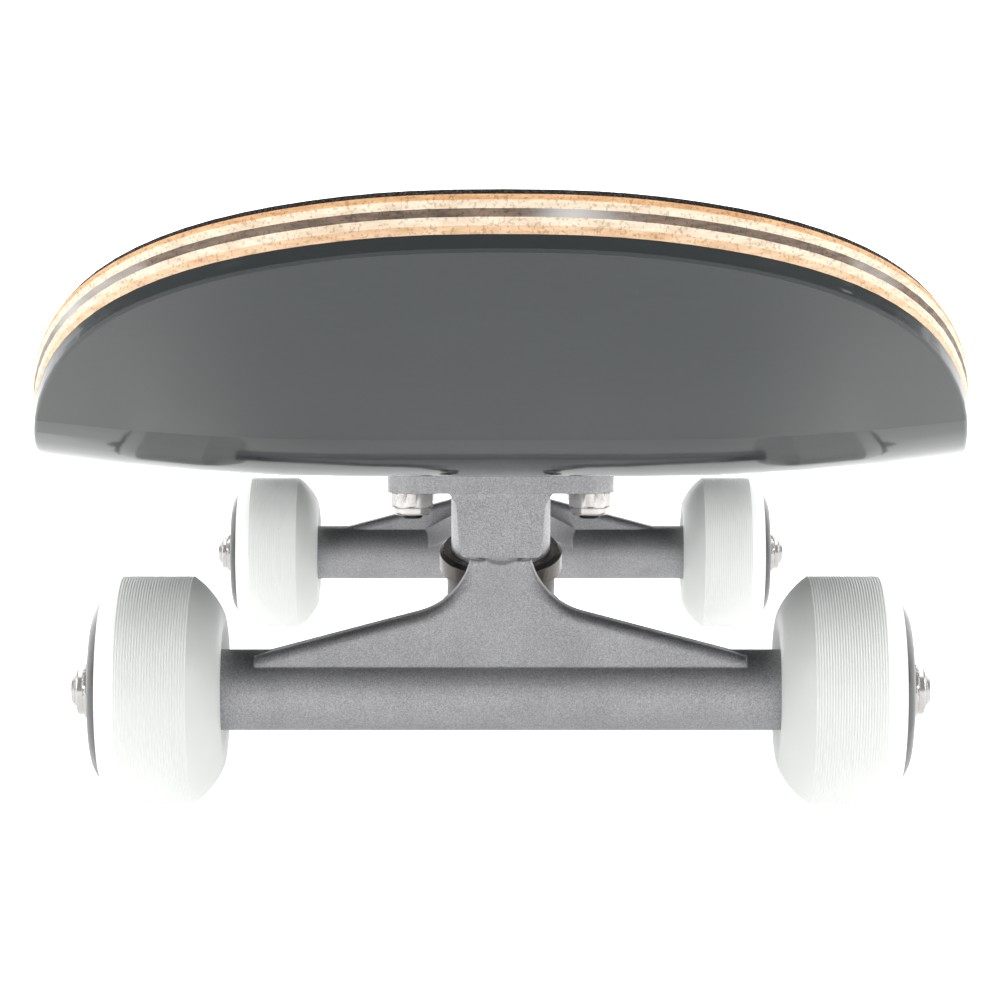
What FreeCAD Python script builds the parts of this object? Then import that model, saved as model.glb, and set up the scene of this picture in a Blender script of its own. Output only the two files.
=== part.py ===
import FreeCAD, Part

# Skateboard: a seven-ply pressed deck on two kingpin trucks, with four urethane wheels.
# Millimetres, +Z up. The board's length runs along Y with the nose at -Y, and the origin is on the floor
# under the middle of the bounding box.

import math
import os

import Sketcher
from FreeCAD import Placement, Rotation, Vector

X_AXIS = Vector(1, 0, 0)
Y_AXIS = Vector(0, 1, 0)
Z_AXIS = Vector(0, 0, 1)

PLIES = 7
BALLS = 7

# alias and value, in millimetres and degrees
DIMENSIONS = [
    # deck
    ("deck_width", 203.2), ("ply_thickness", 1.45), ("grip_thickness", 0.8), ("grip_inset", 1.1),
    ("nose_overhang", 168), ("tail_overhang", 163), ("end_length", 120.3), ("end_power", 2.44),
    ("kick_angle", 26.8), ("kick_radius", 90.9), ("kick_start", 50), ("concave_flat", 30),
    ("concave_radius", 515), ("edge_round_share", 0.6),
    # baseplate, in a frame with its origin at the axle and +Y towards the middle of the board
    ("axle_spacing", 440), ("truck_height", 53.4), ("bolt_across", 41.3), ("bolt_along", 54),
    ("bolt_ahead", 12.3), ("plate_thickness", 5.4), ("plate_width", 52.4), ("plate_margin", 12.5),
    ("plate_corner", 7), ("housing_front", 11.5), ("housing_back", 6), ("housing_depth", 20.3),
    ("housing_shoulder", 12.7), ("housing_waist", 10.3), ("housing_foot", 9.5), ("housing_corner", 1.5),
    ("housing_flare", 2.6),
    # steering: the axis runs from the pivot to the middle of the ring
    ("pivot_ahead", 11), ("pivot_rise", 41), ("ring_behind", 29), ("ring_rise", 13.5), ("kingpin_tilt", 20),
    ("kingpin_radius", 4.75), ("kingpin_head_flats", 14.3), ("kingpin_head", 5.5),
    ("kingpin_grip", 13), ("kingpin_tail", 1.5), ("kingpin_nut", 8), ("boss_radius", 12),
    ("nose_radius", 5.6), ("nose_fit", 0.1), ("cup_wall", 1.3), ("cup_mouth", 3.5), ("neck_radius", 6.9),
    ("neck_taper", 7), ("neck_length", 17.5), ("neck_gap", 0.9),
    # hanger
    ("hanger_half", 68), ("tube_radius", 9.6), ("web_front", 7.4), ("web_back", 4.6), ("web_reach", 58),
    ("web_low", 8.6), ("web_bend", 19.3), ("web_bend_rise", 18.8), ("web_curve", 17), ("web_top_half", 7.2),
    ("web_top", 31.2), ("web_round", 2.6), ("ring_radius", 15), ("ring_thickness", 8), ("ring_hole", 6.6),
    ("arm_half", 30), ("arm_round", 1.6),
    # bushings and washers
    ("bushing_radius", 13.1), ("board_bushing", 14), ("road_bushing", 10), ("cone_radius", 9.6),
    ("cup_washer", 14.9), ("cup_washer_rim", 3), ("cone_washer", 11.2), ("washer_thickness", 2),
    ("bushing_edge", 1.2), ("bushing_gap", 0.3),
    # axle, wheels and bearings
    ("axle_radius", 3.97), ("axle_half", 101.7), ("axle_chamfer", 0.9), ("wheel_radius", 27),
    ("wheel_width", 31.2), ("tread_width", 16.6), ("shoulder_radius", 22), ("shoulder_inset", 2.3),
    ("bulge_radius", 16.5), ("hub_radius", 13.2), ("hub_inset", 1.4), ("bearing_radius", 11),
    ("axle_gap", 0.03), ("bearing_width", 7), ("bearing_gap", 10), ("core_radius", 8.4),
    ("inner_ring_wall", 1.8), ("outer_ring_wall", 1.7), ("ball_radius", 1.984),
    ("ball_gap", 0.05), ("shield_thickness", 0.4), ("shield_gap", 0.3), ("spacer_radius", 5.3),
    ("speed_washer", 6.2), ("speed_washer_thickness", 1), ("axle_nut_flats", 12.7), ("axle_nut", 6.4),
    ("nut_collar", 1.8),
    # deck hardware
    ("bolt_radius", 2.4), ("bolt_gap", 0.25), ("bolt_head", 4.6), ("bolt_head_depth", 2.6),
    ("bolt_tail", 0.8), ("lock_nut_flats", 9.5), ("lock_nut", 5.6),
]

doc = FreeCAD.newDocument("skateboard")
sheet = doc.addObject("Spreadsheet::Sheet", "sizes")
for row, (alias, value) in enumerate(DIMENSIONS, start=1):
    sheet.set(f"A{row}", alias)
    sheet.set(f"B{row}", str(value))
    sheet.setAlias(f"B{row}", alias)
calculator = doc.addObject("App::FeaturePython", "calculator")
calculator.addProperty("App::PropertyFloat", "Result")
doc.recompute()

size = {alias: float(sheet.get(alias)) for alias, value in DIMENSIONS}
nodes = []

# lengths that several pieces share, as expressions in the sheet's words
PLATE_UNDER = "truck_height-plate_thickness"
BOARD_SEAT = "ring_thickness/2+board_bushing+washer_thickness"
ROAD_SEAT = "ring_thickness/2+road_bushing+washer_thickness"
WHEEL_CENTRE = "hanger_half+speed_washer_thickness+bearing_width+bearing_gap/2"
BEARING_CENTRE = "(bearing_gap+bearing_width)/2"
WHEEL_HALF = "wheel_width/2"
DECK_TOP = f"{PLIES}*ply_thickness"
BUSHING_HOLE = "kingpin_radius+bushing_gap"
BEARING_BORE = "axle_radius+axle_gap"
INNER_RING = f"({BEARING_BORE}+inner_ring_wall)"
OUTER_RING = "(bearing_radius-outer_ring_wall)"
BALL_CIRCLE = f"({INNER_RING}+{OUTER_RING})/2"


def linked(expression):
    """The expression with each alias written as a reference to the sheet."""
    text = ""
    word = ""
    for character in expression + " ":
        if character.isalnum() or character == "_":
            word += character
            continue
        text += f"sizes.{word}" if word in size else word
        text += character
        word = ""
    return text.strip()


def worth(expression):
    """The number that an expression comes to now."""
    calculator.setExpression("Result", linked(str(expression)))
    calculator.recompute()
    return calculator.Result


def tie(thing, **links):
    """Binds properties of an object to expressions in the sheet's words."""
    for name, expression in links.items():
        thing.setExpression(name, linked(str(expression)))
    return thing


def at(x=0, y=0, z=0, turn=None):
    return Placement(Vector(x, y, z), turn or Rotation())


def keep(thing, label, place=None):
    """Gives a finished object its node name and its place."""
    thing.Label = label
    if place is not None:
        thing.Placement = place
    nodes.append(thing)
    return thing


def sketch_on(body, name, corners, role, closed=True):
    """A bound outline. A corner is (x, y), or (x, y, radius) where the side that starts there is an arc;
    the arc bulges to the right of its way, or to the left where the radius starts with a minus."""
    sketch = body.newObject("Sketcher::SketchObject", name)
    plane = next(f for f in body.Origin.OriginFeatures if f.Role == role)
    sketch.AttachmentSupport = (plane, "")
    sketch.MapMode = "FlatFace"
    points = [Vector(worth(c[0]), worth(c[1]), 0) for c in corners]
    sides = len(corners) if closed else len(corners) - 1
    ends = []
    for i in range(sides):
        start = points[i]
        end = points[(i + 1) % len(points)]
        if len(corners[i]) == 2:
            sketch.addGeometry(Part.LineSegment(start, end), False)
            ends.append((1, 2))
            continue
        radius = worth(corners[i][2])
        chord = end - start
        side = Vector(chord.y, -chord.x, 0).normalize() * math.copysign(1, radius)
        rise = abs(radius) - math.sqrt(max(radius ** 2 - (chord.Length / 2) ** 2, 0))
        middle = (start + end) / 2 + side * rise
        if radius > 0:
            sketch.addGeometry(Part.Arc(start, middle, end), False)
            ends.append((1, 2))
        else:
            sketch.addGeometry(Part.Arc(end, middle, start), False)
            ends.append((2, 1))
    for i in range(sides):
        for kind, expression in (("DistanceX", corners[i][0]), ("DistanceY", corners[i][1])):
            number = sketch.addConstraint(Sketcher.Constraint(kind, -1, 1, i, ends[i][0], worth(expression)))
            sketch.setExpression(f"Constraints[{number}]", linked(str(expression)))
        if closed or i + 1 < sides:
            after = (i + 1) % sides
            sketch.addConstraint(Sketcher.Constraint("Coincident", i, ends[i][1], after, ends[after][0]))
        if len(corners[i]) == 3:
            radius = str(corners[i][2]).lstrip("-")
            number = sketch.addConstraint(Sketcher.Constraint("Radius", i, worth(radius)))
            sketch.setExpression(f"Constraints[{number}]", linked(radius))
    if not closed:
        for kind, expression in (("DistanceX", corners[-1][0]), ("DistanceY", corners[-1][1])):
            number = sketch.addConstraint(
                Sketcher.Constraint(kind, -1, 1, sides - 1, ends[-1][1], worth(expression)))
            sketch.setExpression(f"Constraints[{number}]", linked(str(expression)))
    return sketch


def turned(name, corners):
    """A body of revolution about Z; a corner is (radius, height)."""
    body = doc.addObject("PartDesign::Body", name)
    sketch = sketch_on(body, name + "_profile", corners, "XZ_Plane")
    spin = body.newObject("PartDesign::Revolution", name + "_turn")
    spin.Profile = sketch
    spin.ReferenceAxis = (sketch, ["V_Axis"])
    spin.Angle = 360
    body.Tip = spin
    return body


def tube(name, inner, outer, low, high):
    return turned(name, [(inner, low), (outer, low), (outer, high), (inner, high)])


def padded(name, corners, depth, role="XY_Plane", both=False):
    """A body padded from the plane along its normal, or both ways."""
    body = doc.addObject("PartDesign::Body", name)
    sketch = sketch_on(body, name + "_outline", corners, role)
    pad = body.newObject("PartDesign::Pad", name + "_pad")
    pad.Profile = sketch
    pad.Midplane = both
    tie(pad, Length=depth)
    body.Tip = pad
    return body


def cylinder(name, radius, height, place=None):
    rod = doc.addObject("Part::Cylinder", name)
    tie(rod, Radius=radius, Height=height)
    if place is not None:
        rod.Placement = place
    return rod


def hexagon(name, flats, height, place=None):
    prism = doc.addObject("Part::Prism", name)
    prism.Polygon = 6
    tie(prism, Circumradius=f"{flats}/sqrt(3)", Height=height)
    if place is not None:
        prism.Placement = place
    return prism


def joined(name, pieces):
    fuse = doc.addObject("Part::MultiFuse", name)
    fuse.Shapes = pieces
    return fuse


def cut(name, base, tool):
    result = doc.addObject("Part::Cut", name)
    result.Base = base
    result.Tool = tool
    return result


def copies(label, source, places, place=None):
    """One node of equal solids: the source's shape at each place."""
    doc.recompute()
    group = doc.addObject("Part::Feature", label)
    solids = [solid.transformed((p * source.Placement.inverse()).toMatrix(), True)
              for p in places for solid in source.Shape.Solids]
    group.Shape = Part.makeCompound(solids)
    return keep(group, label, place)


# frames
length_shift = (size["nose_overhang"] - size["tail_overhang"]) / 2
axle_y = size["axle_spacing"] / 2
TRUCKS = {
    "front": at(0, length_shift - axle_y, size["wheel_radius"]),
    "rear": at(0, length_shift + axle_y, size["wheel_radius"], Rotation(Z_AXIS, 180)),
}
deck_place = at(0, length_shift, size["wheel_radius"] + size["truck_height"])
kingpin_frame = at(0, size["ring_behind"], size["ring_rise"], Rotation(X_AXIS, size["kingpin_tilt"]))
pivot = Vector(0, -size["pivot_ahead"], size["pivot_rise"])
ring = Vector(0, size["ring_behind"], size["ring_rise"])
steer_frame = Placement(pivot, Rotation(Z_AXIS, ring - pivot))
along_x = Rotation(Y_AXIS, 90)
bolt_spots = [Vector(sx * size["bolt_across"] / 2, y, 0)
              for sx in (-1, 1)
              for y in (-size["bolt_ahead"], size["bolt_along"] - size["bolt_ahead"])]

# deck
REACH = f"((deck_width/2-concave_flat+9)/(concave_radius-{DECK_TOP}-grip_thickness))"
LIFT = f"(1-sqrt(1-{REACH}^2))"


def pressed_sheet(name, low, high):
    """The endless pressed sheet between two heights over the underside, mirrored from its nose half."""
    under = f"(concave_radius-({low}))"
    over = f"(concave_radius-({high}))"
    under_x = f"concave_flat+{under}*{REACH}"
    under_z = f"{low}+{under}*{LIFT}"
    over_x = f"concave_flat+{over}*{REACH}"
    over_z = f"{high}+{over}*{LIFT}"
    section = [
        ("concave_flat", low, under), (under_x, under_z), (over_x, over_z, "-" + over),
        ("concave_flat", high), ("-concave_flat", high, "-" + over), (f"-({over_x})", over_z),
        (f"-({under_x})", under_z, under), ("-concave_flat", low),
    ]
    start = "-(axle_spacing/2+kick_start)"
    bend_y = f"{start}-kick_radius*sin(kick_angle)"
    bend_z = "kick_radius*(1-cos(kick_angle))"
    reach = "(nose_overhang-kick_start)"
    spine = [
        ("0", "0"), (start, "0", "-kick_radius"), (bend_y, bend_z),
        (f"{bend_y}-{reach}*cos(kick_angle)", f"{bend_z}+{reach}*sin(kick_angle)"),
    ]
    body = doc.addObject("PartDesign::Body", name)
    profile = sketch_on(body, name + "_section", section, "XZ_Plane")
    path = sketch_on(body, name + "_spine", spine, "YZ_Plane", closed=False)
    pipe = body.newObject("PartDesign::AdditivePipe", name + "_pipe")
    pipe.Profile = profile
    pipe.Spine = (path, [f"Edge{i + 1}" for i in range(3)])
    mirror = body.newObject("PartDesign::Mirrored", name + "_mirror")
    mirror.Originals = [pipe]
    plane = next(f for f in body.Origin.OriginFeatures if f.Role == "XZ_Plane")
    mirror.MirrorPlane = (plane, [""])
    body.Tip = mirror
    return body


def outline_block(name, inset):
    """The board's outline as a tall block: straight rails and two superellipse ends."""
    half = size["deck_width"] / 2 - inset
    power = 2 / size["end_power"]
    ends = []
    for sign, overhang in ((-1, size["nose_overhang"]), (1, size["tail_overhang"])):
        tip = axle_y + overhang - inset
        reach = size["end_length"] - inset
        points = []
        for step in range(25):
            angle = math.pi * step / 24
            x = half * math.copysign(abs(math.cos(angle)) ** power, math.cos(angle))
            y = tip - reach + reach * math.sin(angle) ** power
            points.append(Vector(x, y, -60) if sign > 0 else Vector(-x, -y, -60))
        ends.append(points)
    curves = []
    for sign, points in zip((-1, 1), ends):
        curve = Part.BSplineCurve()
        curve.interpolate(points, InitialTangent=Vector(0, sign, 0), FinalTangent=Vector(0, -sign, 0))
        curves.append(curve.toShape())
    rails = [Part.makeLine(ends[0][-1], ends[1][0]), Part.makeLine(ends[1][-1], ends[0][0])]
    wire = Part.Wire([curves[0], rails[0], curves[1], rails[1]])
    block = doc.addObject("Part::Feature", name)
    block.Shape = Part.Face(wire).extrude(Vector(0, 0, 260))
    return block


def bolt_drill(name):
    """Eight countersunk holes through the deck, in the deck's own frame."""
    top = f"{DECK_TOP}+grip_thickness"
    drill = turned(name, [
        ("0", "-1"), ("bolt_radius+bolt_gap", "-1"), ("bolt_radius+bolt_gap", f"{top}-bolt_head_depth"),
        ("bolt_head+bolt_gap", top), ("bolt_head+bolt_gap", f"{top}+1"), ("0", f"{top}+1"),
    ])
    doc.recompute()
    spots = []
    for sign in (-1, 1):
        for spot in bolt_spots:
            spots.append(at(spot.x, sign * (axle_y - spot.y), 0))
    tool = doc.addObject("Part::Feature", name + "s")
    tool.Shape = Part.makeCompound([drill.Shape.transformed(p.toMatrix(), True) for p in spots])
    return tool


drill = bolt_drill("drill")


def rim_edges(shape, upper):
    """Numbers of the edges round the outline, on the upper or the lower face of a ply."""
    walls = [face for face in shape.Faces
             if abs(face.normalAt(*face.Surface.parameter(face.CenterOfMass)).z) < 1e-4]
    numbers = []
    for number, edge in enumerate(shape.Edges, start=1):
        own = [wall for wall in walls if any(edge.isSame(other) for other in wall.Edges)]
        if len(own) != 1:
            continue
        middle = edge.valueAt((edge.FirstParameter + edge.LastParameter) / 2)
        others = [face for face in shape.Faces
                  if not face.isSame(own[0]) and any(edge.isSame(other) for other in face.Edges)]
        normal = others[0].normalAt(*others[0].Surface.parameter(middle))
        if (normal.z > 0) == upper:
            numbers.append(number)
    return numbers


outline = outline_block("outline", 0)
edge_round = worth("edge_round_share*ply_thickness")
for ply in range(1, PLIES + 1):
    layer = doc.addObject("Part::MultiCommon", f"layer_{ply}")
    layer.Shapes = [outline, pressed_sheet(
        f"sheet_{ply}", f"{PLIES - ply}*ply_thickness", f"{PLIES + 1 - ply}*ply_thickness")]
    if ply in (1, PLIES):
        doc.recompute()
        soft_rim = doc.addObject("Part::Fillet", f"layer_rounded_{ply}")
        soft_rim.Base = layer
        soft_rim.Edges = [(n, edge_round, edge_round) for n in rim_edges(layer.Shape, upper=ply == 1)]
        layer = soft_rim
    keep(cut(f"ply_{ply}", layer, drill), f"ply_{ply}", deck_place)
grip_blank = doc.addObject("Part::MultiCommon", "grip_blank")
grip_blank.Shapes = [pressed_sheet("grip_sheet", DECK_TOP, f"{DECK_TOP}+grip_thickness"),
                     outline_block("grip_outline", size["grip_inset"])]
keep(cut("grip_tape", grip_blank, drill), "grip_tape", deck_place)


# baseplate
def baseplate(end):
    """The cast plate with its pivot housing and its kingpin boss, in the truck's frame."""
    front = "bolt_ahead+plate_margin"
    back = "bolt_along-bolt_ahead+plate_margin"
    half = "plate_width/2"
    corner = "plate_corner"
    plate = padded(f"plate_{end}", [
        (f"-({half}-{corner})", f"-({front})"), (f"{half}-{corner}", f"-({front})", corner),
        (half, f"{corner}-({front})"), (half, f"{back}-{corner}", corner),
        (f"{half}-{corner}", back), (f"-({half}-{corner})", back, corner),
        (f"-({half})", f"{back}-{corner}"), (f"-({half})", f"{corner}-({front})", corner),
    ], "plate_thickness")
    plate.Placement = at(0, 0, worth(PLATE_UNDER))
    foot = "truck_height-housing_depth"
    shoulder = f"{PLATE_UNDER}-housing_flare"
    round_foot = "housing_corner"
    housing = padded(f"housing_{end}", [
        (f"-(housing_foot-{round_foot})", foot), (f"housing_foot-{round_foot}", foot, round_foot),
        ("housing_foot", f"{foot}+{round_foot}"), ("housing_waist", shoulder),
        ("housing_shoulder", f"{PLATE_UNDER}+1"), ("-housing_shoulder", f"{PLATE_UNDER}+1"),
        ("-housing_waist", shoulder), ("-housing_foot", f"{foot}+{round_foot}", round_foot),
    ], "housing_front+pivot_ahead-housing_back", role="XZ_Plane")
    housing.Placement = at(0, -size["housing_back"], 0)
    boss = cylinder(f"boss_{end}", "boss_radius", "truck_height")
    boss.Placement = kingpin_frame * at(0, 0, worth(BOARD_SEAT))
    body = joined(f"casting_{end}", [plate, housing, boss])
    top = doc.addObject("Part::Box", f"top_{end}")
    tie(top, Length="4*plate_width", Width="6*plate_width", Height="truck_height")
    top.Placement = at(-2 * size["plate_width"], -3 * size["plate_width"], size["truck_height"])
    shaft = cylinder(f"shaft_hole_{end}", "kingpin_radius", "truck_height", kingpin_frame)
    head = hexagon(f"head_pocket_{end}", "kingpin_head_flats", "truck_height")
    head.Placement = kingpin_frame * at(0, 0, worth(f"{BOARD_SEAT}+kingpin_grip"))
    seat = turned(f"cup_seat_{end}", cup_outer("0"))
    seat.Placement = steer_frame
    sweep = turned(f"neck_room_{end}", [
        ("0", "cup_mouth"), ("nose_radius+nose_fit+cup_wall", "cup_mouth"),
        ("neck_radius+neck_gap", "neck_taper"), ("neck_radius+neck_gap", "neck_length+12"),
        ("0", "neck_length+12"),
    ])
    sweep.Placement = steer_frame
    holes = [cylinder(f"plate_hole_{end}_{n}", "bolt_radius+bolt_gap", "truck_height",
                      at(spot.x, spot.y, worth(f"{PLATE_UNDER}-1")))
             for n, spot in enumerate(bolt_spots)]
    tool = joined(f"machining_{end}", [top, shaft, head, seat, sweep] + holes)
    return cut(f"baseplate_{end}", body, tool)


def cup_outer(inner):
    """Half-section of the pivot cup down to the radius given, with the pivot at the origin."""
    outer = "nose_radius+nose_fit+cup_wall"
    return [(inner, f"-({outer})"), (outer, f"-({outer})"), (outer, "cup_mouth"), (inner, "cup_mouth")]


def pivot_cup(end):
    bore = "nose_radius+nose_fit"
    outer = f"{bore}+cup_wall"
    return turned(f"pivot_cup_{end}", [
        ("0", f"-({outer})"), (outer, f"-({outer})"), (outer, "cup_mouth"), (bore, "cup_mouth"),
        (bore, "0", f"-({bore})"), ("0", f"-({bore})"),
    ])


# hanger
def hanger(end):
    """Tube, triangular web, pivot nose and kingpin ring cast in one, in the truck's frame."""
    barrel = cylinder(f"barrel_{end}", "tube_radius", "2*hanger_half", at(-size["hanger_half"], 0, 0, along_x))
    web = padded(f"web_{end}", [
        ("-web_reach", "0"), ("web_reach", "0"), ("web_reach", "web_low"), ("web_bend", "web_bend_rise",
         "-web_curve"), ("web_top_half", "web_top"), ("-web_top_half", "web_top", "-web_curve"),
        ("-web_bend", "web_bend_rise"), ("-web_reach", "web_low"),
    ], "web_front+web_back", role="XZ_Plane")
    web.Placement = at(0, size["web_back"], 0)
    doc.recompute()
    edges = []
    for number, edge in enumerate(web.Shape.Edges, start=1):
        box = edge.BoundBox
        outline = box.YMax - box.YMin < 1e-6
        if outline and box.ZMax > size["web_low"] + 1 and box.ZMax - box.ZMin > 1:
            edges.append((number, size["web_round"], size["web_round"]))
    soft = doc.addObject("Part::Fillet", f"web_rounded_{end}")
    soft.Base = web
    soft.Edges = edges
    nose = turned(f"nose_{end}", [
        ("0", "-nose_radius", "nose_radius"), ("nose_radius", "0"), ("nose_radius", "cup_mouth"),
        ("neck_radius", "neck_taper"), ("neck_radius", "neck_length"), ("0", "neck_length"),
    ])
    nose.Placement = steer_frame
    disc = cylinder(f"ring_{end}", "ring_radius", "ring_thickness")
    disc.Placement = kingpin_frame * at(0, 0, -size["ring_thickness"] / 2)
    reach = "(ring_behind-1)/cos(kingpin_tilt)"
    arm = padded(f"arm_{end}", [
        ("-arm_half", f"-({reach})"), ("arm_half", f"-({reach})"), ("ring_radius", "-ring_radius/4"),
        ("-ring_radius", "-ring_radius/4"),
    ], "ring_thickness", both=True)
    arm.Placement = kingpin_frame
    body = joined(f"hanger_casting_{end}", [barrel, soft, nose, disc, arm])
    eye = cylinder(f"eye_{end}", "ring_hole", "4*ring_thickness")
    eye.Placement = kingpin_frame * at(0, 0, -2 * size["ring_thickness"])
    bore = cylinder(f"axle_bore_{end}", "axle_radius", "4*hanger_half",
                    at(-2 * size["hanger_half"], 0, 0, along_x))
    return cut(f"hanger_{end}", body, joined(f"bores_{end}", [eye, bore]))


# kingpin stack
def kingpin(end):
    """Shaft with a hexagonal head, in the kingpin's frame."""
    low = f"{ROAD_SEAT}+kingpin_nut+kingpin_tail"
    shaft = turned(f"kingpin_shaft_{end}", [
        ("0", f"-({low})"), ("kingpin_radius-axle_chamfer", f"-({low})"),
        ("kingpin_radius", f"axle_chamfer-({low})"), ("kingpin_radius", f"{BOARD_SEAT}+kingpin_grip+1"),
        ("0", f"{BOARD_SEAT}+kingpin_grip+1"),
    ])
    head = hexagon(f"kingpin_head_{end}", "kingpin_head_flats", "kingpin_head",
                   at(0, 0, worth(f"{BOARD_SEAT}+kingpin_grip")))
    return joined(f"kingpin_{end}", [shaft, head])


def hex_nut(name, flats, bore, height):
    """A lock nut from its seat up: hexagon below, round collar above."""
    prism = hexagon(f"{name}_hexagon", flats, f"{height}-nut_collar")
    collar = cylinder(f"{name}_collar", f"{flats}/2-0.4", height)
    hole = cylinder(f"{name}_bore", bore, f"3*({height})", at(0, 0, -worth(height)))
    return cut(name, joined(f"{name}_blank", [prism, collar]), hole)


def stack(end):
    """Washers and bushings round the kingpin, by name."""
    ring_half = "ring_thickness/2"
    lip = "bushing_edge"
    board_top = f"{ring_half}+board_bushing"
    road_low = f"{ring_half}+road_bushing"
    pieces = {}
    pieces[f"board_bushing_{end}"] = [
        (BUSHING_HOLE, ring_half), (f"bushing_radius-{lip}", ring_half),
        ("bushing_radius", f"{ring_half}+{lip}"), ("bushing_radius", board_top), (BUSHING_HOLE, board_top)]
    pieces[f"board_washer_{end}"] = [
        ("kingpin_radius", board_top), ("bushing_radius+0.3", board_top),
        ("bushing_radius+0.3", f"{board_top}-cup_washer_rim"), ("cup_washer", f"{board_top}-cup_washer_rim"),
        ("cup_washer", f"{board_top}+washer_thickness/2"),
        ("cup_washer-washer_thickness/2", BOARD_SEAT), ("kingpin_radius", BOARD_SEAT)]
    pieces[f"road_bushing_{end}"] = [
        (BUSHING_HOLE, f"-({road_low})"), ("cone_radius", f"-({road_low})"),
        ("bushing_radius", f"-({ring_half}+2*{lip})"), ("bushing_radius-0.5", f"-({ring_half})"),
        (BUSHING_HOLE, f"-({ring_half})")]
    pieces[f"road_washer_{end}"] = [
        ("kingpin_radius", f"-({ROAD_SEAT})"), ("cone_washer-washer_thickness/2", f"-({ROAD_SEAT})"),
        ("cone_washer", f"-({road_low})"), ("kingpin_radius", f"-({road_low})")]
    return {name: turned(name, corners) for name, corners in pieces.items()}


# wheels and bearings
def wheel_section():
    """Half-section of a wheel: radius, and distance along the axle from the wheel's middle."""
    tread = "tread_width/2"
    face = f"{WHEEL_HALF}-hub_inset"
    shoulder = f"{WHEEL_HALF}-shoulder_inset"
    seat = "bearing_gap/2"
    return [
        ("core_radius", f"-({seat})"), ("bearing_radius", f"-({seat})"), ("bearing_radius", f"-({face}-1.2)"),
        ("hub_radius", f"-({face})"), ("bulge_radius", f"-({WHEEL_HALF})", "3*shoulder_inset"),
        ("shoulder_radius", f"-({shoulder})"), ("wheel_radius", f"-({tread})"), ("wheel_radius", tread),
        ("shoulder_radius", shoulder, "3*shoulder_inset"), ("bulge_radius", WHEEL_HALF), ("hub_radius", face),
        ("bearing_radius", f"{face}-1.2"), ("bearing_radius", seat), ("core_radius", seat),
    ]


def groove_half(radius, centre):
    return f"sqrt((ball_radius+ball_gap)^2-(({centre})-({radius}))^2)"


def bearing_parts():
    """One bearing's inner ring, outer ring, shields and balls, about Z."""
    half = "bearing_width/2"
    groove = "ball_radius+ball_gap"
    inner = groove_half(INNER_RING, BALL_CIRCLE)
    outer = groove_half(OUTER_RING, BALL_CIRCLE)
    ring_in = turned("inner_ring_master", [
        (BEARING_BORE, f"-{half}"), (INNER_RING, f"-{half}"), (INNER_RING, f"-{inner}", f"-({groove})"),
        (INNER_RING, inner), (INNER_RING, half), (BEARING_BORE, half)])
    ring_out = turned("outer_ring_master", [
        (OUTER_RING, f"-{half}"), ("bearing_radius", f"-{half}"), ("bearing_radius", half),
        (OUTER_RING, half), (OUTER_RING, outer, f"-({groove})"), (OUTER_RING, f"-{outer}")])
    shield = tube("shield_master", f"{INNER_RING}+shield_gap", OUTER_RING, f"{half}-0.2-shield_thickness",
                  f"{half}-0.2")
    ball = doc.addObject("Part::Sphere", "ball_master")
    tie(ball, Radius="ball_radius")
    ball.Placement = at(worth(BALL_CIRCLE), 0, 0)
    return ring_in, ring_out, shield, ball


wheel_x = worth(WHEEL_CENTRE)
bearing_x = worth(BEARING_CENTRE)
ball_x = worth(BALL_CIRCLE)
ring_in, ring_out, shield, ball = bearing_parts()
spacer = tube("spacer_master", BEARING_BORE, "spacer_radius", "-bearing_gap/2", "bearing_gap/2")
washer = tube("speed_washer_master", BEARING_BORE, "speed_washer", "0", "speed_washer_thickness")
wheel = turned("wheel_master", wheel_section())
axle_nut = hex_nut("axle_nut_master", "axle_nut_flats", "axle_radius", "axle_nut")
lock_nut = hex_nut("lock_nut_master", "lock_nut_flats", "bolt_radius", "lock_nut")
HEAD = f"{DECK_TOP}+grip_thickness"
bolt_low = "plate_thickness+lock_nut+bolt_tail"
bolt = turned("bolt_master", [
    ("0", f"-({bolt_low})"), ("bolt_radius-0.4", f"-({bolt_low})"), ("bolt_radius", f"0.4-({bolt_low})"),
    ("bolt_radius", f"{HEAD}-bolt_head_depth"), ("bolt_head", f"{HEAD}-0.1"), ("0", f"{HEAD}-0.1")])
nut_seat_x = worth(f"{WHEEL_CENTRE}+{BEARING_CENTRE}+bearing_width/2+speed_washer_thickness")
washer_in_x = size["hanger_half"]
flip = Rotation(Y_AXIS, -90)
turn_down = Rotation(X_AXIS, 180)

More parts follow.
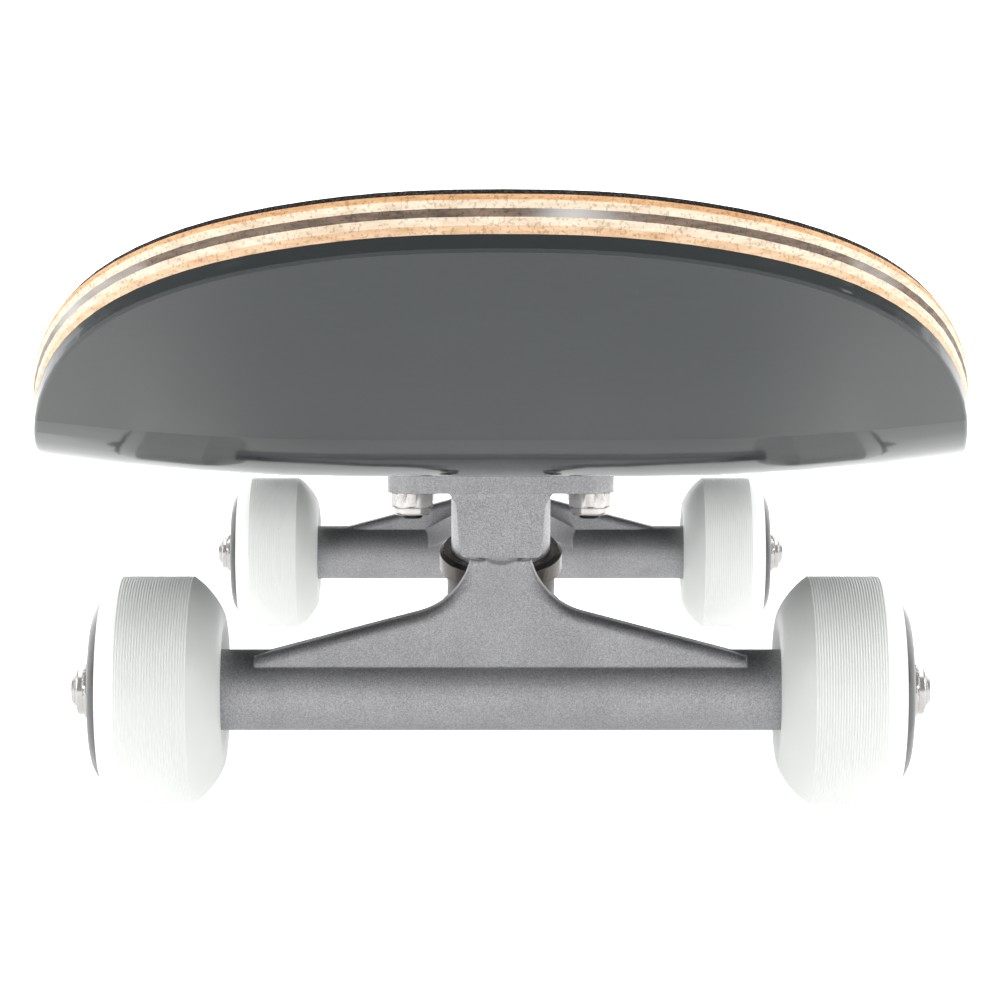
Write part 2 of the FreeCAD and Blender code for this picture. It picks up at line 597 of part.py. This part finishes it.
for end, truck in TRUCKS.items():
    keep(baseplate(end), f"baseplate_{end}", truck)
    keep(pivot_cup(end), f"pivot_cup_{end}", truck * steer_frame)
    keep(kingpin(end), f"kingpin_{end}", truck * kingpin_frame)
    for name, piece in stack(end).items():
        keep(piece, name, truck * kingpin_frame)
    king_nut = hex_nut(f"kingpin_nut_{end}", "kingpin_head_flats", "kingpin_radius", "kingpin_nut")
    keep(king_nut, f"kingpin_nut_{end}", truck * kingpin_frame * at(0, 0, -worth(ROAD_SEAT), turn_down))
    keep(hanger(end), f"hanger_{end}", truck)
    axle = turned(f"axle_{end}", [
        ("0", "-axle_half"), ("axle_radius-axle_chamfer", "-axle_half"),
        ("axle_radius", "axle_chamfer-axle_half"), ("axle_radius", "axle_half-axle_chamfer"),
        ("axle_radius-axle_chamfer", "axle_half"), ("0", "axle_half")])
    keep(axle, f"axle_{end}", truck * at(0, 0, 0, along_x))
    copies(f"speed_washers_{end}", washer, [
        at(washer_in_x, 0, 0, along_x), at(-washer_in_x, 0, 0, flip),
        at(nut_seat_x - size["speed_washer_thickness"], 0, 0, along_x),
        at(size["speed_washer_thickness"] - nut_seat_x, 0, 0, flip)], truck)
    copies(f"axle_nuts_{end}", axle_nut, [at(nut_seat_x, 0, 0, along_x), at(-nut_seat_x, 0, 0, flip)], truck)
    copies(f"bearing_spacers_{end}", spacer,
           [at(side * wheel_x, 0, 0, along_x) for side in (-1, 1)], truck)
    copies(f"bearing_inner_rings_{end}", ring_in,
           [at(side * wheel_x + offset, 0, 0, along_x)
            for side in (-1, 1) for offset in (-bearing_x, bearing_x)], truck)
    for hand, side in (("left", -1), ("right", 1)):
        middle = side * wheel_x
        races = [at(middle + offset, 0, 0, along_x) for offset in (-bearing_x, bearing_x)]
        copies(f"wheel_{end}_{hand}", wheel, [at(middle, 0, 0, along_x)], truck)
        copies(f"bearing_outer_rings_{end}_{hand}", ring_out, races, truck)
        copies(f"bearing_shields_{end}_{hand}", shield,
               [race * at(0, 0, 0, turn) for race in races for turn in (Rotation(), turn_down)], truck)
        balls = [race * at(0, 0, 0, Rotation(Z_AXIS, 360 * n / BALLS)) * at(ball_x, 0, 0)
                 for race in races for n in range(BALLS)]
        copies(f"bearing_balls_{end}_{hand}", ball, balls, truck)
    copies(f"mounting_bolts_{end}", bolt, [at(s.x, s.y, size["truck_height"]) for s in bolt_spots], truck)
    copies(f"lock_nuts_{end}", lock_nut,
           [at(s.x, s.y, worth(PLATE_UNDER), turn_down) for s in bolt_spots], truck)

# checks and files
doc.recompute()
for thing in doc.Objects:
    if "Invalid" in thing.State or "Error" in thing.State:
        raise RuntimeError(f"{thing.Name} failed: {thing.State}")
os.makedirs("parts", exist_ok=True)
for thing in nodes:
    shape = thing.Shape
    if shape.isNull() or not shape.isValid() or not shape.Solids:
        raise RuntimeError(f"{thing.Label} has no valid solid")
for thing in nodes:
    solids = thing.Shape.Solids
    shape = solids[0] if len(solids) == 1 else Part.makeCompound(solids)
    shape.exportStep(f"parts/{thing.Label}.step")
    print(f"{thing.Label}: {len(solids)} solid(s), {shape.Volume:.1f} mm3")
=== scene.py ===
import math

import bmesh
import bpy
from mathutils import Matrix, Vector


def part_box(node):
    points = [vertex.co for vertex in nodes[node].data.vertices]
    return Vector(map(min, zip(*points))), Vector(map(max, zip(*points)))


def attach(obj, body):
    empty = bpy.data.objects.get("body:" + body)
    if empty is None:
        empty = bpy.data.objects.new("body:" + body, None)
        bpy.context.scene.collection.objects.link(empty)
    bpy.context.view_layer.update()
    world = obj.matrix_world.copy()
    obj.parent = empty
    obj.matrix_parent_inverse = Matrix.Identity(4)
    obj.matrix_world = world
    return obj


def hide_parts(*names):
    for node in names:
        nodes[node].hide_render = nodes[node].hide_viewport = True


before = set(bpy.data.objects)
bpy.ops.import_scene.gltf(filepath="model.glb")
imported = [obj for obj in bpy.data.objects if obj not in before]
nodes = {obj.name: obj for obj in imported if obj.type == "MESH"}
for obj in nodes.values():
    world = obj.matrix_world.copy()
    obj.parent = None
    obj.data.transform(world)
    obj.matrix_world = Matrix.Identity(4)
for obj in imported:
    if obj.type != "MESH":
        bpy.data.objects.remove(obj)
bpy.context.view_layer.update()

ends = ("front", "rear")
hands = ("left", "right")

# the camera looks along the board from a little above the trucks
cameraSetup = {"place": (-0.0002, -1.0530, 0.1219), "tiltDown": 3.41, "lens": 127.3}
camera = bpy.data.objects.new("camera", bpy.data.cameras.new("camera"))
camera.data.lens = cameraSetup["lens"]
camera.data.sensor_width = 36.0
camera.data.clip_start = 0.01
camera.location = cameraSetup["place"]
camera.rotation_euler = (math.radians(90 - cameraSetup["tiltDown"]), 0, 0)
bpy.context.scene.collection.objects.link(camera)
bpy.context.scene.camera = camera


# finishes
def newMaterial(name, color, roughness, metallic=0.0):
    material = bpy.data.materials.new(name)
    material.use_nodes = True
    tree = material.node_tree
    surface = tree.nodes["Principled BSDF"]
    surface.inputs["Base Color"].default_value = (*color, 1)
    surface.inputs["Roughness"].default_value = roughness
    surface.inputs["Metallic"].default_value = metallic
    return material, tree, surface


def objectCoordinates(tree, stretch=(1, 1, 1)):
    place = tree.nodes.new("ShaderNodeTexCoord")
    mapping = tree.nodes.new("ShaderNodeMapping")
    mapping.inputs["Scale"].default_value = stretch
    tree.links.new(place.outputs["Object"], mapping.inputs["Vector"])
    return mapping.outputs["Vector"]


def noise(tree, scale, detail=3.0, roughness=0.5, stretch=(1, 1, 1)):
    node = tree.nodes.new("ShaderNodeTexNoise")
    node.inputs["Scale"].default_value = scale
    node.inputs["Detail"].default_value = detail
    node.inputs["Roughness"].default_value = roughness
    tree.links.new(objectCoordinates(tree, stretch), node.inputs["Vector"])
    return node.outputs["Fac"]


def grains(tree, scale):
    node = tree.nodes.new("ShaderNodeTexVoronoi")
    node.inputs["Scale"].default_value = scale
    tree.links.new(objectCoordinates(tree), node.inputs["Vector"])
    return node


def ramp(tree, source, stops):
    node = tree.nodes.new("ShaderNodeValToRGB")
    while len(node.color_ramp.elements) < len(stops):
        node.color_ramp.elements.new(0.5)
    for element, (position, color) in zip(node.color_ramp.elements, stops):
        element.position = position
        element.color = (*color, 1) if len(color) == 3 else (color[0], color[0], color[0], 1)
    tree.links.new(source, node.inputs["Fac"])
    return node.outputs["Color"]


def mixColors(tree, amount, first, second, blend="MIX"):
    node = tree.nodes.new("ShaderNodeMix")
    node.data_type = "RGBA"
    node.blend_type = blend
    for value, label, kind in ((amount, "Factor", "VALUE"), (first, "A", "RGBA"), (second, "B", "RGBA")):
        sockets = [s for s in node.inputs if s.name == label and s.type == kind]
        if isinstance(value, tuple):
            sockets[0].default_value = (*value, 1)
        elif isinstance(value, float):
            sockets[0].default_value = value
        else:
            tree.links.new(value, sockets[0])
    return [s for s in node.outputs if s.type == "RGBA"][0]


def bump(tree, surface, height, strength, distance, onto=None):
    node = tree.nodes.new("ShaderNodeBump")
    node.inputs["Strength"].default_value = strength
    node.inputs["Distance"].default_value = distance
    tree.links.new(height, node.inputs["Height"])
    if onto is not None:
        tree.links.new(onto, node.inputs["Normal"])
    tree.links.new(node.outputs["Normal"], surface.inputs["Normal"])
    return node.outputs["Normal"]


def deckPaint():
    look = {"color": (0.022, 0.026, 0.027), "roughness": 0.10, "coat": 0.15, "coatRoughness": 0.05,
            "specular": 0.28, "peel": 0.04}
    material, tree, surface = newMaterial("deckPaint", look["color"], look["roughness"])
    surface.inputs["Coat Weight"].default_value = look["coat"]
    surface.inputs["Coat Roughness"].default_value = look["coatRoughness"]
    surface.inputs["Specular IOR Level"].default_value = look["specular"]
    tone = ramp(tree, noise(tree, 9, 4, 0.6), [(0.3, (0.019, 0.023, 0.024)), (0.7, (0.026, 0.031, 0.032))])
    tree.links.new(tone, surface.inputs["Base Color"])
    bump(tree, surface, noise(tree, 260, 2, 0.5), look["peel"], 0.0004)
    return material


def plyEdge(name, light, dark, gap=None):
    material, tree, surface = newMaterial(name, light, 0.55)
    fibre = noise(tree, 150, 6, 0.65, (1, 1, 5))
    tone = ramp(tree, fibre, [(0.34, dark), (0.62, light)])
    pores = noise(tree, 1400, 2, 0.6)
    pore = ramp(tree, pores, [(0.36, tuple(c * 0.55 for c in dark)), (0.46, (1, 1, 1))])
    tone = mixColors(tree, 0.45, tone, pore, "MULTIPLY")
    if gap:
        patch = ramp(tree, noise(tree, 13, 3, 0.5), [(0.52, (0.0,)), (0.60, (1.0,))])
        tone = mixColors(tree, patch, tone, gap)
    tree.links.new(tone, surface.inputs["Base Color"])
    bump(tree, surface, fibre, 0.35, 0.0003)
    return material


def gripSheet():
    material, tree, surface = newMaterial("gripSheet", (0.012, 0.012, 0.012), 0.75)
    grit = grains(tree, 1800)
    tone = ramp(tree, grit.outputs["Distance"], [(0.1, (0.05, 0.05, 0.052)), (0.5, (0.008, 0.008, 0.008))])
    tree.links.new(tone, surface.inputs["Base Color"])
    glint = ramp(tree, noise(tree, 2600, 1, 0.5), [(0.45, (0.85,)), (0.62, (0.25,))])
    tree.links.new(glint, surface.inputs["Roughness"])
    bump(tree, surface, grit.outputs["Distance"], 0.9, 0.0006)
    return material


def softEdge(tree, radius):
    node = tree.nodes.new("ShaderNodeBevel")
    node.samples = 4
    node.inputs["Radius"].default_value = radius
    return node.outputs["Normal"]


def castMetal():
    look = {"color": (0.36, 0.36, 0.37), "grain": 4200, "edge": 0.0007}
    material, tree, surface = newMaterial("castMetal", look["color"], 0.46, 1.0)
    grit = grains(tree, look["grain"])
    speck = ramp(tree, grit.outputs["Color"],
                 [(0.1, (0.36, 0.36, 0.37)), (0.5, (0.46, 0.46, 0.47)), (0.95, (0.60, 0.60, 0.62))])
    cloud = ramp(tree, noise(tree, 70, 5, 0.6), [(0.3, (0.86, 0.86, 0.86)), (0.7, (1.0, 1.0, 1.0))])
    tone = mixColors(tree, 1.0, speck, cloud, "MULTIPLY")
    tree.links.new(tone, surface.inputs["Base Color"])
    rough = ramp(tree, noise(tree, 1500, 3, 0.7), [(0.3, (0.38,)), (0.7, (0.56,))])
    tree.links.new(rough, surface.inputs["Roughness"])
    skin = bump(tree, surface, grit.outputs["Distance"], 0.30, 0.00018, softEdge(tree, look["edge"]))
    bump(tree, surface, noise(tree, 420, 4, 0.65), 0.22, 0.0004, skin)
    return material


def milkyUrethane():
    look = {"color": (0.92, 0.94, 0.91), "roughness": 0.36, "glow": 0.35}
    material, tree, surface = newMaterial("milkyUrethane", look["color"], look["roughness"])
    surface.inputs["Subsurface Weight"].default_value = look["glow"]
    surface.inputs["Subsurface Radius"].default_value = (1.0, 1.0, 0.9)
    surface.inputs["Subsurface Scale"].default_value = 0.004
    tone = ramp(tree, noise(tree, 30, 3, 0.5), [(0.3, (0.85, 0.87, 0.85)), (0.7, (0.89, 0.905, 0.885))])
    tree.links.new(tone, surface.inputs["Base Color"])
    bump(tree, surface, noise(tree, 1500, 2, 0.5), 0.08, 0.0002)
    return material


def printedFace():
    material, tree, surface = newMaterial("printedFace", (0.012, 0.012, 0.013), 0.22)
    rough = ramp(tree, noise(tree, 90, 4, 0.6), [(0.35, (0.16,)), (0.7, (0.34,))])
    tree.links.new(rough, surface.inputs["Roughness"])
    bump(tree, surface, noise(tree, 700, 3, 0.5), 0.06, 0.0002)
    return material


def platedSteel(name, color, low, high, scale=220):
    material, tree, surface = newMaterial(name, color, low, 1.0)
    rough = ramp(tree, noise(tree, scale, 5, 0.65), [(0.3, (low,)), (0.72, (high,))])
    tree.links.new(rough, surface.inputs["Roughness"])
    tint = ramp(tree, noise(tree, 60, 3, 0.5), [(0.3, tuple(c * 0.82 for c in color)), (0.7, color)])
    tree.links.new(tint, surface.inputs["Base Color"])
    bump(tree, surface, noise(tree, 1100, 3, 0.5), 0.10, 0.0002, softEdge(tree, 0.0003))
    return material


def blackUrethane():
    material, tree, surface = newMaterial("blackUrethane", (0.016, 0.013, 0.011), 0.32)
    rough = ramp(tree, noise(tree, 160, 4, 0.6), [(0.3, (0.22,)), (0.7, (0.46,))])
    tree.links.new(rough, surface.inputs["Roughness"])
    bump(tree, surface, noise(tree, 500, 3, 0.5), 0.12, 0.0003)
    return material


finishes = {
    "paint": deckPaint(),
    "plyOrange": plyEdge("plyOrange", (0.80, 0.47, 0.23), (0.55, 0.27, 0.10)),
    "plyCream": plyEdge("plyCream", (0.88, 0.76, 0.60), (0.70, 0.54, 0.38)),
    "plyBrown": plyEdge("plyBrown", (0.22, 0.15, 0.105), (0.075, 0.05, 0.035), (0.55, 0.53, 0.51)),
    "plyPeach": plyEdge("plyPeach", (0.82, 0.58, 0.38), (0.62, 0.38, 0.20)),
    "grip": gripSheet(),
    "cast": castMetal(),
    "urethane": milkyUrethane(),
    "print": printedFace(),
    "zinc": platedSteel("zincPlate", (0.56, 0.545, 0.53), 0.13, 0.30),
    "steel": platedSteel("turnedSteel", (0.52, 0.51, 0.50), 0.18, 0.36),
    "washer": platedSteel("washerSteel", (0.115, 0.105, 0.098), 0.20, 0.38),
    "bolt": platedSteel("blackOxide", (0.035, 0.035, 0.036), 0.35, 0.55),
    "bushing": blackUrethane(),
}
print("finishes made:", len(finishes))


def dress(node, finish):
    mesh = nodes[node].data
    mesh.materials.clear()
    mesh.materials.append(finishes[finish])


plies = {1: "plyOrange", 2: "plyCream", 3: "plyBrown", 4: "plyCream", 5: "plyPeach", 6: "paint", 7: "paint"}
for ply, finish in plies.items():
    dress(f"ply_{ply}", finish)
dress("grip_tape", "grip")
for end in ends:
    for node, finish in (("baseplate", "cast"), ("hanger", "cast"), ("pivot_cup", "bushing"),
                         ("kingpin", "steel"), ("kingpin_nut", "zinc"), ("board_washer", "washer"),
                         ("road_washer", "washer"),
                         ("board_bushing", "bushing"), ("road_bushing", "bushing"), ("axle", "steel"),
                         ("speed_washers", "zinc"), ("axle_nuts", "zinc"), ("bearing_spacers", "steel"),
                         ("bearing_inner_rings", "steel"), ("mounting_bolts", "bolt"),
                         ("lock_nuts", "zinc")):
        dress(f"{node}_{end}", finish)
    for hand in hands:
        for node, finish in (("wheel", "urethane"), ("bearing_outer_rings", "steel"),
                             ("bearing_shields", "bushing"), ("bearing_balls", "steel")):
            dress(f"{node}_{end}_{hand}", finish)
print("frame dressed")


# how a new piece is made and handed to the frame
def finishPiece(name, mesh, body, materials, replaced=(), sharp=35):
    bmesh.ops.recalc_face_normals(mesh, faces=mesh.faces)
    data = bpy.data.meshes.new(name)
    mesh.to_mesh(data)
    mesh.free()
    for material in materials:
        data.materials.append(finishes[material])
    for face in data.polygons:
        face.use_smooth = True
    data.set_sharp_from_angle(angle=math.radians(sharp))
    piece = bpy.data.objects.new(name, data)
    bpy.context.scene.collection.objects.link(piece)
    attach(piece, body)
    if replaced:
        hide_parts(*replaced)
    return piece


def spunRing(profile, steps):
    mesh = bmesh.new()
    chain = [mesh.verts.new((along, 0, radius)) for along, radius in profile]
    edges = [mesh.edges.new(pair) for pair in zip(chain, chain[1:] + chain[:1])]
    bmesh.ops.spin(mesh, geom=chain + edges, cent=(0, 0, 0), axis=(1, 0, 0), angle=math.tau,
                   steps=steps, use_merge=True)
    bmesh.ops.remove_doubles(mesh, verts=mesh.verts, dist=1e-7)
    return mesh


# wheels: turned urethane with fine ribs on the tread and a plain black outer face
wheel = {"tread": 0.0083, "radius": 0.027, "ribs": 26, "ribDepth": 0.00011, "shoulder": (0.0133, 0.022),
         "bulge": (0.0156, 0.0165), "hub": (0.0142, 0.0132), "seat": 0.011, "core": 0.0084, "gap": 0.005,
         "crown": 0.00022, "recess": 0.0012, "recessLip": (0.0003, 0.0010), "blackFrom": 0.0125,
         "blackInner": 0.0135, "steps": 112}


def wheelProfile():
    side = []
    shoulderX, shoulderR = wheel["shoulder"]
    bulgeX, bulgeR = wheel["bulge"]
    hubX, hubR = wheel["hub"]
    for step in range(1, 5):  # cone from tread to shoulder, a little crowned
        share = step / 5
        crown = wheel["crown"] * math.sin(math.pi * share)
        side.append((wheel["tread"] + (shoulderX - wheel["tread"]) * share + crown,
                     wheel["radius"] + (shoulderR - wheel["radius"]) * share + crown))
    for step in range(0, 9):  # domed face
        share = step / 8
        side.append((shoulderX + (bulgeX - shoulderX) * math.sin(share * math.pi / 2),
                     shoulderR + (bulgeR - shoulderR) * share))
    for step in range(1, 6):  # rounded lip down to the bearing seat
        share = step / 5
        side.append((bulgeX + (hubX - bulgeX) * (1 - math.cos(share * math.pi / 2)),
                     bulgeR + (hubR - bulgeR) * share))
    lipIn, lipUp = wheel["recessLip"]
    side += [(hubX - lipIn, wheel["seat"] + lipUp), (hubX - wheel["recess"], wheel["seat"]),
             (wheel["gap"], wheel["seat"]), (wheel["gap"], wheel["core"])]
    tread = []
    count = wheel["ribs"] * 2
    for step in range(count + 1):
        depth = wheel["ribDepth"] if step % 2 else 0
        tread.append((-wheel["tread"] + 2 * wheel["tread"] * step / count, wheel["radius"] - depth))
    return [(-x, r) for x, r in reversed(side)] + tread + side


for end in ends:
    for hand in hands:
        low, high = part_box(f"wheel_{end}_{hand}")
        middle = (Vector(low) + Vector(high)) / 2
        mesh = spunRing(wheelProfile(), wheel["steps"])
        outward = math.copysign(1, middle.x)
        for face in mesh.faces:
            spot = face.calc_center_median()
            reach = math.hypot(spot.y, spot.z)
            if spot.x * outward > wheel["blackFrom"] and wheel["blackInner"] < reach < wheel["shoulder"][1]:
                face.material_index = 1
        bmesh.ops.translate(mesh, verts=mesh.verts, vec=middle)
        finishPiece(f"wheelUrethane.{end}.{hand}", mesh, f"{end}_{hand}_wheel",
                    ("urethane", "print"), [f"wheel_{end}_{hand}"])
print("wheels turned")

# lock nuts: a chamfered hexagon under a round collar with a shallow insert; sizes are flats, height, bore
lockNut = {"chamfer": 0.55, "waistShare": 1.005, "collarInset": 0.0005, "collarStep": 0.00015,
           "collar": 0.0018, "lip": 0.0006, "insertOuter": 0.0009, "insertInner": 0.0005,
           "insertDepth": 0.0007, "steps": 72, "kingpin": (0.0143, 0.008, 0.00475),
           "axle": (0.0127, 0.0064, 0.00397), "plate": (0.0095, 0.0056, 0.0024)}
# where the nuts seat, in a truck's own frame with its origin at the middle of the axle
truckSizes = {"frontY": -0.2175, "rearY": 0.2225, "axleZ": 0.027, "ringBehind": 0.029, "ringRise": 0.0135,
              "kingpinTilt": 20, "roadSeat": 0.016, "axleNutSeat": 0.094, "plateUnder": 0.048,
              "boltX": 0.02065, "boltY": (-0.0123, 0.0417)}


def nutMesh(kind, place):
    flats, height, bore = lockNut[kind]
    across = flats / 2
    corner = across / math.cos(math.pi / 6)
    rise = (corner - across) * lockNut["chamfer"]
    waist = height - lockNut["collar"]
    collar = across - lockNut["collarInset"]
    lip = lockNut["lip"]
    profile = [(0, bore), (0, across), (rise, corner), (waist - rise, corner),
               (waist, across * lockNut["waistShare"]), (waist + lockNut["collarStep"], collar)]
    for step in range(5):
        turn = step / 4 * math.pi / 2
        profile.append((height - lip + lip * math.sin(turn), collar - lip + lip * math.cos(turn)))
    well = height - lockNut["insertDepth"]
    profile += [(height, bore + lockNut["insertOuter"]), (well, bore + lockNut["insertInner"]), (well, bore)]
    mesh = spunRing(profile, lockNut["steps"])
    for vertex in mesh.verts:
        reach = math.hypot(vertex.co.y, vertex.co.z)
        turn = math.atan2(vertex.co.z, vertex.co.y) % (math.pi / 3) - math.pi / 6
        limit = across / math.cos(turn)
        if reach > limit:
            vertex.co.y *= limit / reach
            vertex.co.z *= limit / reach
    bmesh.ops.transform(mesh, matrix=place, verts=mesh.verts)
    return mesh


def mergedMesh(parts):
    whole = bmesh.new()
    for part in parts:
        piece = bpy.data.meshes.new("part")
        part.to_mesh(piece)
        part.free()
        whole.from_mesh(piece)
        bpy.data.meshes.remove(piece)
    return whole


truckPlace = {"front": Matrix.Translation((0, truckSizes["frontY"], truckSizes["axleZ"])),
              "rear": Matrix.Translation((0, truckSizes["rearY"], truckSizes["axleZ"]))
                      @ Matrix.Rotation(math.pi, 4, "Z")}
xToDown = Matrix.Rotation(math.pi / 2, 4, "Y")  # a nut is made along X; this hangs it
kingpinPlace = (Matrix.Translation((0, truckSizes["ringBehind"], truckSizes["ringRise"]))
                @ Matrix.Rotation(math.radians(truckSizes["kingpinTilt"]), 4, "X"))
for end in ends:
    truck = truckPlace[end]
    place = truck @ kingpinPlace @ Matrix.Translation((0, 0, -truckSizes["roadSeat"])) @ xToDown
    finishPiece(f"kingpinLockNut.{end}", nutMesh("kingpin", place), "deck", ("zinc",),
                [f"kingpin_nut_{end}"], 28)
    outer = [truck @ Matrix.Rotation(turn, 4, "Z") @ Matrix.Translation((truckSizes["axleNutSeat"], 0, 0))
             for turn in (0, math.pi)]
    finishPiece(f"axleLockNuts.{end}", mergedMesh([nutMesh("axle", spot) for spot in outer]),
                f"{end}_hanger", ("zinc",), [f"axle_nuts_{end}"], 28)
    spots = [truck @ Matrix.Translation((side * truckSizes["boltX"], y, truckSizes["plateUnder"])) @ xToDown
             for side in (-1, 1) for y in truckSizes["boltY"]]
    finishPiece(f"plateLockNuts.{end}", mergedMesh([nutMesh("plate", spot) for spot in spots]),
                "deck", ("zinc",), [f"lock_nuts_{end}"], 28)
print("lock nuts made")

# floor, backdrop and light
stage = {"floorGlow": 0.42, "floorSeen": 0.55, "wall": 1.12, "wallAt": 3.6, "overhead": 24, "side": 12,
         "air": 0.50, "backdrop": 1.05}
floorMaterial, floorTree, floorSurface = newMaterial("studioFloor", (0.93, 0.93, 0.93), 0.6)
floorSurface.inputs["Emission Color"].default_value = (1, 1, 1, 1)
seen = floorTree.nodes.new("ShaderNodeLightPath")
lift = floorTree.nodes.new("ShaderNodeMath")
lift.operation = "MULTIPLY_ADD"
lift.inputs[1].default_value = stage["floorSeen"]
lift.inputs[2].default_value = stage["floorGlow"]
floorTree.links.new(seen.outputs["Is Camera Ray"], lift.inputs[0])
floorTree.links.new(lift.outputs["Value"], floorSurface.inputs["Emission Strength"])
bpy.ops.mesh.primitive_plane_add(size=40, location=(0, 0, 0))
floor = bpy.context.object
floor.name = "studioFloor"
floor.data.materials.append(floorMaterial)

wallMaterial, wallTree, wallSurface = newMaterial("studioWall", (0.9, 0.9, 0.9), 0.8)
wallSurface.inputs["Emission Color"].default_value = (1, 1, 1, 1)
wallSurface.inputs["Emission Strength"].default_value = stage["wall"]
bpy.ops.mesh.primitive_plane_add(size=12, location=(0, stage["wallAt"], 0))
wall = bpy.context.object
wall.name = "studioWall"
wall.rotation_euler = (math.radians(90), 0, 0)
wall.data.materials.append(wallMaterial)


def softLight(name, place, target, size, power):
    lamp = bpy.data.lights.new(name, "AREA")
    lamp.shape = "RECTANGLE"
    lamp.size, lamp.size_y = size
    lamp.energy = power
    thing = bpy.data.objects.new(name, lamp)
    thing.location = place
    thing.rotation_euler = (Vector(target) - Vector(place)).to_track_quat("-Z", "Y").to_euler()
    bpy.context.scene.collection.objects.link(thing)


softLight("overhead", (0, 0.1, 1.9), (0, 0, 0.05), (1.8, 2.2), stage["overhead"])
softLight("leftSoft", (-1.5, -0.7, 0.75), (0, -0.1, 0.05), (0.9, 1.2), stage["side"])
softLight("rightSoft", (1.5, -0.7, 0.75), (0, -0.1, 0.05), (0.9, 1.2), stage["side"])

world = bpy.data.worlds.new("studio")
bpy.context.scene.world = world
world.use_nodes = True
air = world.node_tree
skyLight = air.nodes["Background"]
skyLight.inputs["Color"].default_value = (1, 1, 1, 1)
skyLight.inputs["Strength"].default_value = stage["air"]
backdrop = air.nodes.new("ShaderNodeBackground")
backdrop.inputs["Color"].default_value = (1, 1, 1, 1)
backdrop.inputs["Strength"].default_value = stage["backdrop"]
path = air.nodes.new("ShaderNodeLightPath")
choose = air.nodes.new("ShaderNodeMixShader")
air.links.new(path.outputs["Is Camera Ray"], choose.inputs["Fac"])
air.links.new(skyLight.outputs["Background"], choose.inputs[1])
air.links.new(backdrop.outputs["Background"], choose.inputs[2])
air.links.new(choose.outputs["Shader"], air.nodes["World Output"].inputs["Surface"])
bpy.context.scene.view_settings.view_transform = "Standard"
print("stage lit")
